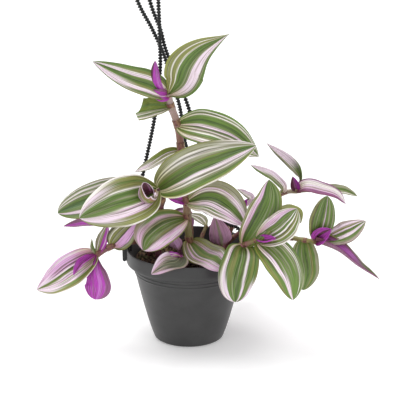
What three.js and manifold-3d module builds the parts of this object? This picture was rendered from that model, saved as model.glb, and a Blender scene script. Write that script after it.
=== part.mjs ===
// A tradescantia with striped leaves in a hanging pot of 120 mm across, standing on its base.
// Millimetres, +Z up. The origin is the centre of the pot's underside, and -Y is the front.
import * as THREE from 'three';
import { mergeVertices } from 'three/addons/utils/BufferGeometryUtils.js';
import Module from 'manifold-3d';

const wasm = await Module();
wasm.setup();

// Driving dimensions
const RIM_RADIUS = 60; // the pot's outer radius at its rim
const POT_HEIGHT = 91;
const WALL = 1.8;
const BAND_HEIGHT = 14; // the straight band that hangs from the rim, clear of the wall
const NECK_RADIUS = 53.8; // the wall's outer radius at the band's lower edge
const FOOT_RADIUS = 32.6;
const FOOT_BEVEL = 1.5; // how far the underside's flat face lies inside the foot
const SOLID_RIM = 7; // the height of the rim above the band's clear part
const EDGE = 0.6; // the bevel of the band's lower edge
const ROUNDING = 0.82; // the power by which the wall widens from the foot to the neck
const RIDGE = 0.7; // how far each fine ridge stands out
const SOIL_TOP = 80;
const ROOT_DEPTH = 14; // how deep a stem stands in the soil
const BLADE = 0.8; // leaf thickness
const STRAND_RADIUS = 1.5;
const GAP = 0.3; // clearance between pieces that touch
const POT_SEGMENTS = 32;
const STEM_SIDES = 6;
const STRAND_SIDES = 6;

// The heights at which the pot's inner wall changes its slope, from the floor up to the band
const FLOOR = 2 * WALL;
const INNER_HEIGHTS = [FLOOR, 13, 38, POT_HEIGHT - BAND_HEIGHT, POT_HEIGHT];

// The crown is a bar over the tops of the strands, which stand one step apart under it.
const CROWN = { center: [-45, 22], step: [17, -4], underside: 378, thickness: 4, halfWidth: 5 };
const DRAIN = { holes: 6, ring: 18, radius: 3 };
const CLIP = { width: 6, cap: 4, outer: 3, inner: 1.6, play: 2.1, longProng: 14, shortProng: 3.5 };
const BOSS = { radius: 3.4, depth: 4 }; // the socket under the crown for each strand
const HOOK = { radius: 2.4, rise: 24, bend: 12, tip: 10 };

// How a leaf is cut into triangles, and how its outline runs
const ROWS = 6;
const SMALL_ROWS = 4;
const COLUMNS = 4;
const FEW_COLUMNS = 2;
const SMALL_LEAF = 24; // leaves up to this width have fewer rows, and fewer columns if flat
const TIP_HALF_WIDTH = 0.6;
const BASE_HALF_WIDTH = 2.2;
const TAPER = 0.8; // how most leaves narrow to their tips
const WAVE = 0.05; // how far a leaf's edges wander, as a share of its half width
const CLASP = 60; // extra curl where a leaf clasps its stem, in degrees

const COLORS = {
  pot: 0x4a4a4a,
  soil: 0x3b2a20,
  hanger: 0x232626,
  leaf: 0x7f9a63,
};

// Each shoot is rooted at [x, y] and its stem runs through the points of path.
// A leaf springs from the path point number at, and its midrib runs on through rib to its tip.
// face is the way its upper side looks, curl rounds it over its width and fold bends it at the
// midrib (both in degrees), widest is where it is widest, and taper is the power by which it
// narrows to its tip.
// A leaf with a cut ends there, at that share of its length, and slant shortens its +t half.
const SHOOTS = [
  {
    name: 'stem_main',
    root: [1, 2],
    radius: 4,
    path: [[1, 0, 95], [-2, 0, 119], [-2, 0, 135], [-5, 0, 158], [-7, 0, 187], [-10, 0, 211],
      [-16, 0, 229], [-19, 0, 240]],
    leaves: [
      { at: 0, rib: [[12, -28, 92.5], [24, -52, 96], [35, -60, 89.5]], width: 33,
        face: [0.1, -0.7, 0.7], taper: 0.65 },
      { at: 1, rib: [[-21, -20, 118], [-35, -33, 110.5], [-42, -38, 100.5]], width: 40,
        face: [-0.25, -0.8, 0.55], widest: 0.5, taper: 0.65 },
      { at: 2, rib: [[22, -24, 149], [41, -38, 144], [53, -42, 127]], width: 37,
        face: [0.1, -0.85, 0.5], widest: 0.48 },
      { at: 4, rib: [[-20, -2, 183.5], [-36, -9, 175.5], [-50, -11, 169]], width: 12,
        face: [-0.15, -0.75, 0.65] },
      { at: 5, rib: [[15, -22, 215], [42, -32, 208], [65, -30, 190]], width: 35, face: [0, -0.85, 0.5],
        widest: 0.4 },
      { at: 6, rib: [[-33, -5, 228], [-49, -9, 225.5]], width: 23, face: [-0.1, -0.75, 0.65], fold: 20,
        cut: 0.5, slant: 10 },
      { at: 7, rib: [[-7.2, -8, 254], [-0.8, -15, 272], [12.6, -19, 288], [37.5, -22, 304]], width: 38,
        face: [0, -0.95, 0.3], widest: 0.45, taper: 1.3 },
      { at: 7, rib: [[-34, -8, 252], [-58, -14, 262], [-87, -18, 277]], width: 26,
        face: [-0.1, -0.85, 0.5], widest: 0.42 },
      { at: 7, rib: [[-25.5, -5, 247], [-29.5, -8, 258], [-30.5, -8, 275]], width: 23,
        face: [-0.2, 0.95, 0], curl: 105 },
      { at: 7, rib: [[-26, -7, 242], [-36, -10, 247]], width: 13, face: [0, -0.9, 0.4], curl: 40 },
      { at: 7, rib: [[-19, 3, 246], [-21, 4, 253]], width: 12, face: [-0.3, -0.9, 0], curl: 50 },
      { at: 2, rib: [[-10, -3, 139], [-19, -5, 141]], width: 10, face: [0, -0.8, 0.5], curl: 40 },
      { at: 2, rib: [[3, -4, 134], [7, -6, 131]], width: 8, face: [0, -0.8, 0.5], curl: 40 },
    ],
  },
  {
    name: 'stem_front_left',
    root: [-29, -3],
    radius: 3,
    path: [[-29, -1, 106], [-28, -3, 127], [-25, -13, 142], [-28, -24, 156]],
    leaves: [
      { at: 3, rib: [[2, -38, 179], [34, -46, 195], [62, -48, 206]], width: 42,
        face: [0.05, -0.9, 0.45], widest: 0.34 },
      { at: 3, rib: [[-46, -42, 154], [-70, -58, 151], [-99, -68, 143]], width: 48,
        face: [-0.1, -0.9, 0.4], widest: 0.46, taper: 0.7 },
      { at: 2, rib: [[-56, -20, 152], [-91, -24, 144], [-122, -30, 135]], width: 35,
        face: [-0.1, -0.75, 0.6], widest: 0.6, taper: 0.65 },
      { at: 1, rib: [[-65, -17, 126], [-97, -22, 122], [-117, -26, 120.5]], width: 20,
        face: [0, 0.8, 0.6] },
      { at: 3, rib: [[-34, -42, 153], [-40, -50, 160], [-43, -53, 170]], width: 30,
        face: [-0.3, -0.5, 0.8], curl: 95 },
    ],
  },
  {
    name: 'stem_left',
    root: [-38, 6],
    radius: 2.6,
    path: [[-40, 4, 92], [-54, -10, 100], [-73, -16, 97], [-87, -20, 90]],
    leaves: [
      { at: 3, rib: [[-110, -30, 77.5], [-127, -36, 67.5], [-143, -38, 61]], width: 33,
        face: [-0.2, -0.85, 0.5], widest: 0.34 },
      { at: 3, rib: [[-99, -29, 86], [-107, -35, 77]], width: 13, face: [-0.2, -0.6, 0.8],
        curl: 70 },
      { at: 3, rib: [[-88.5, -34, 81], [-86, -42, 67.5], [-88, -42, 53]], width: 26,
        face: [0.2, 0.9, 0.2], widest: 0.68, taper: 0.5 },
      { at: 3, rib: [[-82, -18, 106], [-76, -20, 121]], width: 13, face: [0.3, -0.9, 0.3], curl: 50 },
      { at: 2, rib: [[-62, -19, 110], [-46, -22, 128]], width: 25, face: [0.3, -0.85, 0.4] },
      { at: 3, rib: [[-91, -23, 98], [-91, -24, 107]], width: 4, face: [0.5, -0.8, 0] },
    ],
  },
  {
    name: 'stem_front_right',
    root: [28, -33],
    radius: 3,
    path: [[34, -41, 92], [43, -46, 102], [51, -43, 107], [64, -50, 115]],
    leaves: [
      { at: 2, rib: [[49, -62, 102], [43.8, -72, 83], [43.2, -71, 62]], width: 36,
        face: [0, -0.95, 0.3], widest: 0.5, taper: 0.6 },
      { at: 2, rib: [[66, -52, 135], [74, -54, 156], [74, -50, 174]], width: 31,
        face: [-0.1, -0.95, 0.3] },
      { at: 3, rib: [[82, -64, 130], [92, -70, 143], [99, -68, 152]], width: 29,
        face: [0.1, -0.85, 0.5] },
      { at: 3, rib: [[85, -50, 138], [98, -50, 142], [104, -50, 132]], width: 19,
        face: [0, -0.4, 0.9] },
      { at: 3, rib: [[81, -62, 105], [93, -68, 86], [97, -68, 63]], width: 32, face: [0, -0.9, 0.4],
        widest: 0.4, taper: 0.65 },
      { at: 3, rib: [[72, -62, 119], [80, -70, 124]], width: 12, face: [-0.2, -0.6, 0.8], curl: 80 },
    ],
  },
  {
    name: 'stem_right_low',
    root: [44, 4],
    radius: 2.6,
    path: [[48, 4, 90], [70, -6, 100], [94, -12, 104], [108, -16, 103], [120, -18, 102]],
    leaves: [
      { at: 3, rib: [[108.5, -24, 91], [111, -28, 75], [108.5, -28, 57]], width: 27,
        face: [0.2, -0.9, 0.3], taper: 0.6 },
      { at: 4, rib: [[125, -22, 124], [129.7, -22, 149]], width: 24, face: [0, -0.95, 0.2],
        widest: 0.52, taper: 0.65 },
      { at: 4, rib: [[141, -28, 96.5], [159, -34, 84.2], [179, -38, 72.5]], width: 15,
        face: [0, -0.3, 0.95],
        fold: 50 },
      { at: 4, rib: [[126, -25, 111], [134, -28, 118]], width: 18, face: [0, -0.8, 0.5], curl: 60 },
      { at: 4, rib: [[139, -22, 108.5], [151, -26, 115.5], [166, -26, 125.5]], width: 22,
        face: [0, -0.8, 0.6], widest: 0.55 },
    ],
  },
  {
    name: 'stem_right_up',
    root: [36, 20],
    radius: 2.4,
    path: [[40, 20, 90], [59, 20, 106], [76, 18, 125], [90, 16, 139], [103, 14, 142], [116, 12, 144]],
    leaves: [
      { at: 3, rib: [[89, 10, 148.5], [78.5, 7, 159.5], [68, 5, 165.8], [58.8, 4, 171]], width: 10,
        face: [0, -0.7, 0.7] },
      { at: 4, rib: [[107, 15, 153], [104, 15, 162], [95, 15, 172.5], [74, 12, 190]], width: 9,
        face: [-0.6, -0.6, 0.5] },
      { at: 4, rib: [[112, 8, 149], [126, 5, 147], [140, 2, 143], [149, 0, 134]], width: 15,
        face: [0, -0.7, 0.7], widest: 0.34 },
      { at: 5, rib: [[135, 14, 143.5], [149, 14, 142.5], [161, 12, 137.5]], width: 11,
        face: [0, -0.6, 0.8] },
      { at: 4, rib: [[101, 13, 149], [99, 12, 157]], width: 13, face: [0, -0.9, 0.2], curl: 80 },
    ],
  },
  {
    name: 'shoot_front',
    root: [-2, -27],
    radius: 2,
    path: [[-4, -30, 87], [-7, -33, 92]],
    leaves: [
      { at: 1, rib: [[-11, -50, 93.5], [-22, -63, 95.5], [-34, -67, 88]], width: 22,
        face: [0, -0.65, 0.75] },
      { at: 1, rib: [[-16, -38, 96], [-27, -42, 97]], width: 7, face: [0, -0.5, 0.9], curl: 40 },
    ],
  },
  {
    name: 'shoot_middle',
    root: [-7, -15],
    radius: 2,
    path: [[-7, -15, 86], [-9, -15, 92]],
    leaves: [
      { at: 1, rib: [[-13, -17, 101], [-18, -18, 110]], width: 13, face: [0, 0.9, 0.2] },
    ],
  },
  {
    name: 'shoot_right',
    root: [31, 0],
    radius: 2,
    path: [[31, -1, 86], [32, -2, 91]],
    leaves: [
      { at: 1, rib: [[30, -3, 102], [25, -1, 122]], width: 22, face: [0, 0.95, 0.1] },
    ],
  },
  {
    name: 'shoot_back_right',
    root: [35, 28],
    radius: 2,
    path: [[42, 29, 100], [47, 26, 118]],
    leaves: [
      { at: 1, rib: [[60, 22, 131], [54, 21, 137.5], [46.5, 20, 142]], width: 7,
        face: [0, -0.8, 0.6] },
      { at: 1, rib: [[54, 19, 126.5], [57, 16, 134]], width: 10, face: [0, -0.8, 0.6], curl: 80 },
      { at: 0, rib: [[30, 26, 111], [13, 24, 118]], width: 9, face: [0.2, 0.9, 0.3] },
    ],
  },
  {
    name: 'shoot_back',
    root: [12, 40],
    radius: 2,
    path: [[13, 43, 86], [17, 50, 94]],
    leaves: [
      { at: 1, rib: [[10, 58, 99], [0, 61, 102]], width: 12, face: [0, -0.4, 0.9] },
    ],
  },
  {
    name: 'stem_back_left',
    root: [-12, 30],
    radius: 2.6,
    path: [[-12, 34, 92], [-16, 56, 103], [-20, 72, 96], [-23, 83, 76], [-24, 87, 54]],
    leaves: [
      { at: 1, rib: [[-28, 72, 97], [-36, 82, 80]], width: 24, face: [-0.2, 0.5, 0.85] },
      { at: 2, rib: [[-8, 86, 92], [2, 96, 74]], width: 24, face: [0.1, 0.8, 0.6] },
      { at: 3, rib: [[-36, 94, 70], [-44, 100, 52]], width: 24, face: [-0.2, 0.9, 0.4] },
      { at: 4, rib: [[-14, 98, 44], [-6, 102, 28]], width: 22, face: [0.1, 0.9, 0.3] },
      { at: 4, rib: [[-30, 95, 38], [-34, 98, 22]], width: 18, face: [-0.2, 0.9, 0.3] },
    ],
  },
  {
    name: 'stem_back_right',
    root: [24, 30],
    radius: 2.6,
    path: [[28, 36, 93], [38, 54, 104], [40, 68, 98], [38, 82, 78], [37, 86, 58]],
    leaves: [
      { at: 1, rib: [[44, 66, 112], [50, 76, 108]], width: 22, face: [0.2, 0.5, 0.85] },
      { at: 2, rib: [[46, 80, 94], [48, 92, 80]], width: 22, face: [0.2, 0.8, 0.6] },
      { at: 3, rib: [[28, 94, 70], [20, 102, 54]], width: 24, face: [-0.1, 0.9, 0.4] },
      { at: 4, rib: [[42, 94, 48], [44, 98, 32]], width: 22, face: [0.1, 0.9, 0.3] },
    ],
  },
  {
    name: 'stem_back_middle',
    root: [2, 30],
    radius: 2.4,
    path: [[2, 32, 94], [0, 34, 112], [-2, 38, 128]],
    leaves: [
      { at: 2, rib: [[-18, 44, 138], [-38, 50, 138]], width: 22, face: [-0.1, 0.3, 0.95] },
      { at: 2, rib: [[-4, 52, 142], [-6, 68, 144]], width: 20, face: [0, 0.4, 0.9] },
    ],
  },
];

// Each strand hangs at its place under the crown, runs through path and ends at its clip on the rim.
const STRANDS = [
  {
    name: 'strand_left',
    place: 1,
    clipAngle: 182,
    path: [[-27.6, 10, 329], [-26.6, 9, 293], [-26.6, 9, 262], [-31.4, 7, 220], [-41.5, 3, 171]],
  },
  {
    name: 'strand_front',
    place: 0,
    clipAngle: 15,
    path: [[-35.6, 17, 326], [-25.8, 14, 299], [-20.5, 12, 279], [-1, 8, 229], [16, 2, 171],
      [35, 5, 117], [45, 10, 107]],
  },
  {
    name: 'strand_back',
    place: -1,
    clipAngle: 62,
    path: [[-47.6, 24, 325], [-33.6, 27, 296], [-22.6, 30, 269], [-9, 36, 220], [-3, 40, 180],
      [12, 46, 143]],
  },
];

// ---------------------------------------------------------------- helpers

const vector = (point) => new THREE.Vector3(...point);

function curveThrough(points) {
  return new THREE.CatmullRomCurve3(points.map(vector), false, 'catmullrom', 0.5);
}

function solid(geometry) {
  const bare = geometry.clone();
  bare.deleteAttribute('normal');
  bare.deleteAttribute('uv');
  const merged = mergeVertices(bare, 1e-4);
  const mesh = new wasm.Mesh({
    numProp: 3,
    vertProperties: new Float32Array(merged.attributes.position.array),
    triVerts: new Uint32Array(merged.index.array),
  });
  return new wasm.Manifold(mesh);
}

function geometryOf(body) {
  const { vertProperties, triVerts } = body.getMesh();
  const geometry = new THREE.BufferGeometry();
  geometry.setAttribute('position', new THREE.BufferAttribute(new Float32Array(vertProperties), 3));
  geometry.setIndex(new THREE.BufferAttribute(new Uint32Array(triVerts), 1));
  geometry.computeVertexNormals();
  return geometry;
}

// The union's largest shell: a sealed hollow is filled by leaving its own shell out.
function joined(geometries) {
  const whole = geometries.map(solid).reduce((body, next) => body.add(next));
  return whole.decompose().reduce((most, shell) => (shell.volume() > most.volume() ? shell : most));
}

function piece(name, body, color, roughness) {
  const material = new THREE.MeshStandardMaterial({ color, roughness, metalness: 0 });
  const mesh = new THREE.Mesh(geometryOf(body), material);
  mesh.name = name;
  return mesh;
}

function turned(profile, segments) {
  const points = profile.map(([radius, height]) => new THREE.Vector2(radius, height));
  return new THREE.LatheGeometry(points, segments).rotateX(Math.PI / 2);
}

function tube(points, radius, sides, steps) {
  const section = new THREE.Shape();
  for (let side = 0; side < sides; side += 1) {
    const angle = (2 * Math.PI * side) / sides;
    const place = [radius * Math.cos(angle), radius * Math.sin(angle)];
    if (side === 0) section.moveTo(...place);
    else section.lineTo(...place);
  }
  section.closePath();
  return new THREE.ExtrudeGeometry(section, {
    steps,
    bevelEnabled: false,
    extrudePath: curveThrough(points),
  });
}

function post([x, y], radius, bottom, top, sides = 8) {
  const cylinder = new THREE.CylinderGeometry(radius, radius, top - bottom, sides);
  return cylinder.rotateX(Math.PI / 2).translate(x, y, (bottom + top) / 2);
}

// ---------------------------------------------------------------- leaves

function outline(s, widest = 0.42, taper = TAPER) {
  const rise = (taper * widest) / (1 - widest);
  const peak = widest ** rise * (1 - widest) ** taper;
  return (s ** rise * (1 - s) ** taper) / peak;
}

// The place and the normal of the blade's middle surface, s along the midrib and t across it.
function bladePoint(leaf, curve, s, t) {
  const along = curve.getTangent(s);
  const up = vector(leaf.face);
  up.addScaledVector(along, -up.dot(along)).normalize();
  const side = new THREE.Vector3().crossVectors(along, up);
  const base = BASE_HALF_WIDTH * (1 - s) ** 3;
  const grown = outline(s * (leaf.cut ?? 1), leaf.widest, leaf.taper);
  const half = Math.max((leaf.width / 2) * grown, base, TIP_HALF_WIDTH);
  const curl = THREE.MathUtils.degToRad((leaf.curl ?? 14) + CLASP * (1 - s) ** 4);
  const fold = THREE.MathUtils.degToRad(leaf.fold ?? 6);
  const wave = WAVE * half * t * t * Math.sin(9 * s + leaf.width);
  const across = ((half * Math.sin(curl * t)) / curl) * Math.cos(fold);
  const lift = (half * (1 - Math.cos(curl * t))) / curl + half * Math.abs(t) * Math.sin(fold) + wave;
  const slope = Math.sin(curl * t) + Math.sign(t) * Math.sin(fold);
  const run = Math.cos(curl * t) * Math.cos(fold);
  const point = curve.getPoint(s).addScaledVector(side, across).addScaledVector(up, lift);
  point.addScaledVector(along, -(leaf.slant ?? 0) * s * s * Math.max(t, 0) ** 0.5);
  const normal = up.multiplyScalar(run).addScaledVector(side, -slope).normalize();
  return { point, normal };
}

function bladeGeometry(leaf, start) {
  const curve = curveThrough([start, ...leaf.rib]);
  const small = leaf.width <= SMALL_LEAF;
  const rows = small ? SMALL_ROWS : ROWS;
  const columns = small && !leaf.curl ? FEW_COLUMNS : COLUMNS;
  const perRow = columns + 1;
  const layer = (rows + 1) * perRow;
  const places = new Float32Array(2 * layer * 3);
  for (let row = 0; row <= rows; row += 1) {
    for (let column = 0; column <= columns; column += 1) {
      const { point, normal } = bladePoint(leaf, curve, row / rows, (2 * column) / columns - 1);
      const index = row * perRow + column;
      point.clone().addScaledVector(normal, BLADE / 2).toArray(places, 3 * index);
      point.clone().addScaledVector(normal, -BLADE / 2).toArray(places, 3 * (index + layer));
    }
  }
  const faces = [];
  const quad = (a, b, c, d) => faces.push(a, b, c, a, c, d);
  for (let row = 0; row < rows; row += 1) {
    for (let column = 0; column < columns; column += 1) {
      const a = row * perRow + column;
      const b = a + 1;
      const c = b + perRow;
      const d = a + perRow;
      quad(a, b, c, d);
      faces.push(a + layer, c + layer, b + layer, a + layer, d + layer, c + layer);
    }
    const left = row * perRow;
    const right = left + columns;
    quad(left, left + perRow, left + perRow + layer, left + layer);
    quad(right + perRow, right, right + layer, right + perRow + layer);
  }
  for (let column = 0; column < columns; column += 1) {
    const last = rows * perRow + column;
    quad(column + 1, column, column + layer, column + 1 + layer);
    quad(last, last + 1, last + 1 + layer, last + layer);
  }
  const geometry = new THREE.BufferGeometry();
  geometry.setAttribute('position', new THREE.BufferAttribute(places, 3));
  geometry.setIndex(faces);
  return geometry;
}

function stemGeometries({ root, radius, path }) {
  const foot = [...root, SOIL_TOP + radius];
  const steps = Math.max(2, Math.ceil(path.length * 1.5));
  return [
    post(root, radius, SOIL_TOP - ROOT_DEPTH, SOIL_TOP + 2 * radius, STEM_SIDES),
    tube([foot, ...path], radius, STEM_SIDES, steps),
  ];
}

function shootPiece(shoot) {
  const blades = shoot.leaves.map((leaf) => bladeGeometry(leaf, shoot.path[leaf.at]));
  return piece(shoot.name, joined([...stemGeometries(shoot), ...blades]), COLORS.leaf, 0.5);
}

// ---------------------------------------------------------------- pot and soil

// The outer radius of the wall at a height: a convex taper up to the neck, then straight to the rim.
function wallRadius(height) {
  const neck = POT_HEIGHT - BAND_HEIGHT;
  if (height >= neck) {
    return NECK_RADIUS + ((RIM_RADIUS - NECK_RADIUS) * (height - neck)) / BAND_HEIGHT;
  }
  return FOOT_RADIUS + (NECK_RADIUS - FOOT_RADIUS) * (height / neck) ** ROUNDING;
}

function potPiece() {
  const outerHeights = [FOOT_BEVEL, 9, 26, 48, 62];
  const ridgeHeights = [67.5, 71, 74.5];
  const neck = POT_HEIGHT - BAND_HEIGHT;
  const lip = RIM_RADIUS - GAP;
  const bandTop = POT_HEIGHT - SOLID_RIM; // where the band meets the wall
  const profile = [[0, 0], [FOOT_RADIUS - FOOT_BEVEL, 0]];
  outerHeights.forEach((height) => profile.push([wallRadius(height), height]));
  ridgeHeights.forEach((height) => {
    profile.push([wallRadius(height - 1), height - 1]);
    profile.push([wallRadius(height) + RIDGE, height]);
    profile.push([wallRadius(height + 1), height + 1]);
  });
  profile.push([NECK_RADIUS, neck], [wallRadius(bandTop), bandTop], [lip - WALL, bandTop]);
  profile.push([lip - WALL, neck + EDGE], [lip - EDGE, neck], [lip, neck + EDGE]);
  profile.push([lip, POT_HEIGHT]);
  profile.push([RIM_RADIUS - WALL, POT_HEIGHT]);
  [...INNER_HEIGHTS].reverse().slice(1).forEach((height) => {
    profile.push([wallRadius(height) - WALL, height]);
  });
  profile.push([0, FLOOR]);
  let pot = solid(turned(profile, POT_SEGMENTS));
  for (let hole = 0; hole < DRAIN.holes; hole += 1) {
    const angle = (2 * Math.PI * hole) / DRAIN.holes;
    const place = [DRAIN.ring * Math.cos(angle), DRAIN.ring * Math.sin(angle)];
    pot = pot.subtract(solid(post(place, DRAIN.radius, -1, FLOOR + 1)));
  }
  return piece('pot', pot, COLORS.pot, 0.6);
}

function soilPiece() {
  const clear = WALL + 1.3 * GAP;
  const crumble = 4; // how far the soil's top edge slopes in from the wall
  const profile = [[0, FLOOR + GAP], [wallRadius(FLOOR) - clear, FLOOR + GAP]];
  INNER_HEIGHTS.slice(1, -1).forEach((height) => profile.push([wallRadius(height) - clear, height]));
  profile.push([wallRadius(SOIL_TOP - 1) - clear, SOIL_TOP - 1]);
  profile.push([wallRadius(SOIL_TOP) - clear - crumble, SOIL_TOP], [0, SOIL_TOP]);
  let soil = solid(turned(profile, POT_SEGMENTS));
  SHOOTS.forEach(({ root, radius }) => {
    const bottom = SOIL_TOP - ROOT_DEPTH - GAP;
    const hole = post(root, radius + 1.2 * GAP, bottom, SOIL_TOP + 1, STEM_SIDES);
    soil = soil.subtract(solid(hole));
  });
  return piece('soil', soil, COLORS.soil, 1);
}

// ---------------------------------------------------------------- hanger

function onRim(angle, radius, height) {
  const turn = THREE.MathUtils.degToRad(angle);
  return [radius * Math.cos(turn), radius * Math.sin(turn), height];
}

// A clip straddles the rim: a long prong outside and a short one inside, under a cap with
// sloped edges.
function clipGeometry(angle) {
  const seat = POT_HEIGHT + GAP;
  const outside = RIM_RADIUS + GAP;
  const inside = RIM_RADIUS - WALL - CLIP.play;
  const shoulder = seat + CLIP.cap - CLIP.inner;
  const section = new THREE.Shape();
  section.moveTo(inside - CLIP.inner, seat - CLIP.shortProng);
  section.lineTo(inside, seat - CLIP.shortProng);
  section.lineTo(inside, seat);
  section.lineTo(outside, seat);
  section.lineTo(outside, seat - CLIP.longProng);
  section.lineTo(outside + CLIP.outer, seat - CLIP.longProng);
  section.lineTo(outside + CLIP.outer, shoulder);
  section.lineTo(outside + CLIP.outer / 3, seat + CLIP.cap);
  section.lineTo(inside - CLIP.inner / 3, seat + CLIP.cap);
  section.lineTo(inside - CLIP.inner, shoulder);
  section.closePath();
  const clip = new THREE.ExtrudeGeometry(section, { depth: CLIP.width, bevelEnabled: false });
  clip.translate(0, 0, -CLIP.width / 2).rotateX(Math.PI / 2);
  return clip.rotateZ(THREE.MathUtils.degToRad(angle));
}

function underCrown(place) {
  return CROWN.center.map((middle, axis) => middle + place * CROWN.step[axis]);
}

function strandPiece({ name, place, path, clipAngle }) {
  const top = underCrown(place);
  const bend = CROWN.underside - 7; // the strand stands upright above this height
  const points = [[...top, bend], ...path, onRim(clipAngle, RIM_RADIUS - 1, POT_HEIGHT + 3)];
  const strand = tube(points, STRAND_RADIUS, STRAND_SIDES, 16);
  const head = post(top, STRAND_RADIUS, bend - 1, CROWN.underside - GAP);
  return piece(name, joined([strand, head, clipGeometry(clipAngle)]), COLORS.hanger, 0.55);
}

// A bar with round ends, as long as the row of strands
function crownGeometry() {
  const [x, y] = CROWN.center;
  const [dx, dy] = CROWN.step;
  const half = Math.hypot(dx, dy);
  const bar = new THREE.Shape();
  bar.absarc(half, 0, CROWN.halfWidth, -Math.PI / 2, Math.PI / 2);
  bar.absarc(-half, 0, CROWN.halfWidth, Math.PI / 2, 1.5 * Math.PI);
  const settings = { depth: CROWN.thickness, bevelEnabled: false, curveSegments: 6 };
  const crown = new THREE.ExtrudeGeometry(bar, settings);
  return crown.rotateZ(Math.atan2(dy, dx)).translate(x, y, CROWN.underside);
}

function hookGeometry() {
  const [x, y] = CROWN.center;
  const low = CROWN.underside + 1;
  const neck = low + HOOK.rise;
  const points = [[x, y, low], [x, y, low + 0.6 * HOOK.rise], [x, y, neck]];
  const turns = 6;
  for (let step = 1; step <= turns; step += 1) {
    const angle = (Math.PI * step) / turns;
    points.push([x + HOOK.bend * (1 - Math.cos(angle)), y, neck + HOOK.bend * Math.sin(angle)]);
  }
  points.push([x + 2 * HOOK.bend, y, neck - HOOK.tip]);
  return tube(points, HOOK.radius, 8, 16);
}

function hookPiece() {
  const bosses = STRANDS.map(({ place }) => (
    post(underCrown(place), BOSS.radius, CROWN.underside - BOSS.depth, CROWN.underside + 1)
  ));
  let hanger = joined([crownGeometry(), hookGeometry(), ...bosses]);
  STRANDS.forEach(({ place }) => {
    const low = CROWN.underside - BOSS.depth - 1;
    const socket = post(underCrown(place), STRAND_RADIUS + 1.2 * GAP, low, CROWN.underside);
    hanger = hanger.subtract(solid(socket));
  });
  return piece('hanger_hook', hanger, COLORS.hanger, 0.55);
}

// ---------------------------------------------------------------- the whole plant

const plant = new THREE.Group();
plant.add(potPiece(), soilPiece());
SHOOTS.forEach((shoot) => plant.add(shootPiece(shoot)));
STRANDS.forEach((strand) => plant.add(strandPiece(strand)));
plant.add(hookPiece());

export default plant;
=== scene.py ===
"""The looks of the potted tradescantia: finer leaves, stems, soil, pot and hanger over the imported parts.

Lengths are in millimetres until MM turns them into metres. +Z is up, and -Y is the front.
"""

import random
from math import atan2, cos, exp, hypot, pi, radians, sin, sqrt

import bpy
import numpy as np
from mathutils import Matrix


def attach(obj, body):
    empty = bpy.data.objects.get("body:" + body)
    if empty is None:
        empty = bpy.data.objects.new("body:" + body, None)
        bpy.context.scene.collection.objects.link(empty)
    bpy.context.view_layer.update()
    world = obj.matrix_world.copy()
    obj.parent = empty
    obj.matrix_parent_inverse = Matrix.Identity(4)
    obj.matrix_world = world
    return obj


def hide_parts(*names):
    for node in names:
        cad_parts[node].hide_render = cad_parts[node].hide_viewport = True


MM = 0.001
SEED = 11

# ---------- sizes of the real object

RIM_RADIUS = 60
POT_HEIGHT = 91
WALL = 1.8
POT_FLOOR = 2 * WALL
BAND_HEIGHT = 14  # the straight band that hangs from the rim, clear of the wall
BAND_ROOT = POT_HEIGHT - 7  # where the band leaves the wall
NECK = POT_HEIGHT - BAND_HEIGHT
NECK_RADIUS = 53.8  # the wall's outer radius at the band's lower edge
FOOT_RADIUS = 32.6
ROUNDING = 0.82  # below 1 the wall bellies out
RIDGE_HEIGHTS = (67.5, 71, 74.5)
RIDGE_SIZE = 0.62  # how far a ridge stands out, and how wide it spreads
SOIL_TOP = 80
ROOT_DEPTH = 14
CRUMBS = 620
GAP = 0.3  # between parts that touch
STRAND_RADIUS = 1.5
STRAND_LOBE = 0.85  # how far the two lobes of a twisted strand stand out
STRAND_PITCH = 5.8  # the length of one whole turn
HEAD_RADIUS, HEAD_LENGTH = 1.45, 7  # a strand's plain top
CROWN_CENTER = (-45, 22)
CROWN_STEP = (17, -4)
CROWN_UNDERSIDE = 378
CROWN_THICKNESS = 4
CROWN_HALF_WIDTH = 5
HOOK_RADIUS, HOOK_RISE, HOOK_BEND, HOOK_TIP = 2.4, 24, 12, 10
CLIP_WIDTH, CLIP_CAP = 6, 4
CLIP_OUTER, CLIP_INNER = 4, 1.6  # how thick the prongs are
CLIP_LONG, CLIP_SHORT = 14, 3.5
BEVEL = 0.35
BOSS_RADIUS, BOSS_DEPTH, BORE = 3.4, 4, 1.86
DRAIN_HOLES, DRAIN_RING, DRAIN_RADIUS = 6, 18, 3

# How most leaves grow; a leaf's own shape may say otherwise.
WIDEST = 0.42  # where along its length a leaf is widest
TAPER = 0.8  # the power by which it narrows to its tip
CURL, FOLD = 14, 6  # how hollow it is, in degrees
CLASP = 60  # extra curl where it clasps its stem, in degrees
WAVE = 0.05  # of its edges, as a share of its half width
WOBBLE = 0.012  # of its outline, as a share too
BASE_HALF_WIDTH, TIP_HALF_WIDTH = 2.2, 0.25
RIPPLE, PLEATS, GROOVE = 0.3, 0.16, 0.4  # heights of the edge's ripple, the pleats and the midrib's groove
EDGE_THICK, RIB_THICK = 0.2, 0.26  # half the thickness at the edge, and what the midrib adds
SMALL_WIDTH = 20  # up to this width a leaf takes the small grid
SMALL_GRID, LARGE_GRID = (33, 21), (47, 33)  # rows and columns of points

ROOT_SHARE = 0.86  # of a stem's radius, within the soil
STEM_TIP = ((0.85, 0.5), (0.5, 0.9), (0.15, 1.05))  # how much is left of the radius, and how far on
SHEATH_BELOW, SHEATH_ABOVE = 0.15, 0.3  # of the way to the next joint
SHEATH_SIZES = (0.9, 1.0, 1.03, 1.04, 1.05, 1.05, 1.06, 1.07, 1.09)  # of the stem's radius
SHEATH_INSIDE = 0.93
SHEATH_HAIRS, HAIR_RADIUS = 10, 0.05

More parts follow.
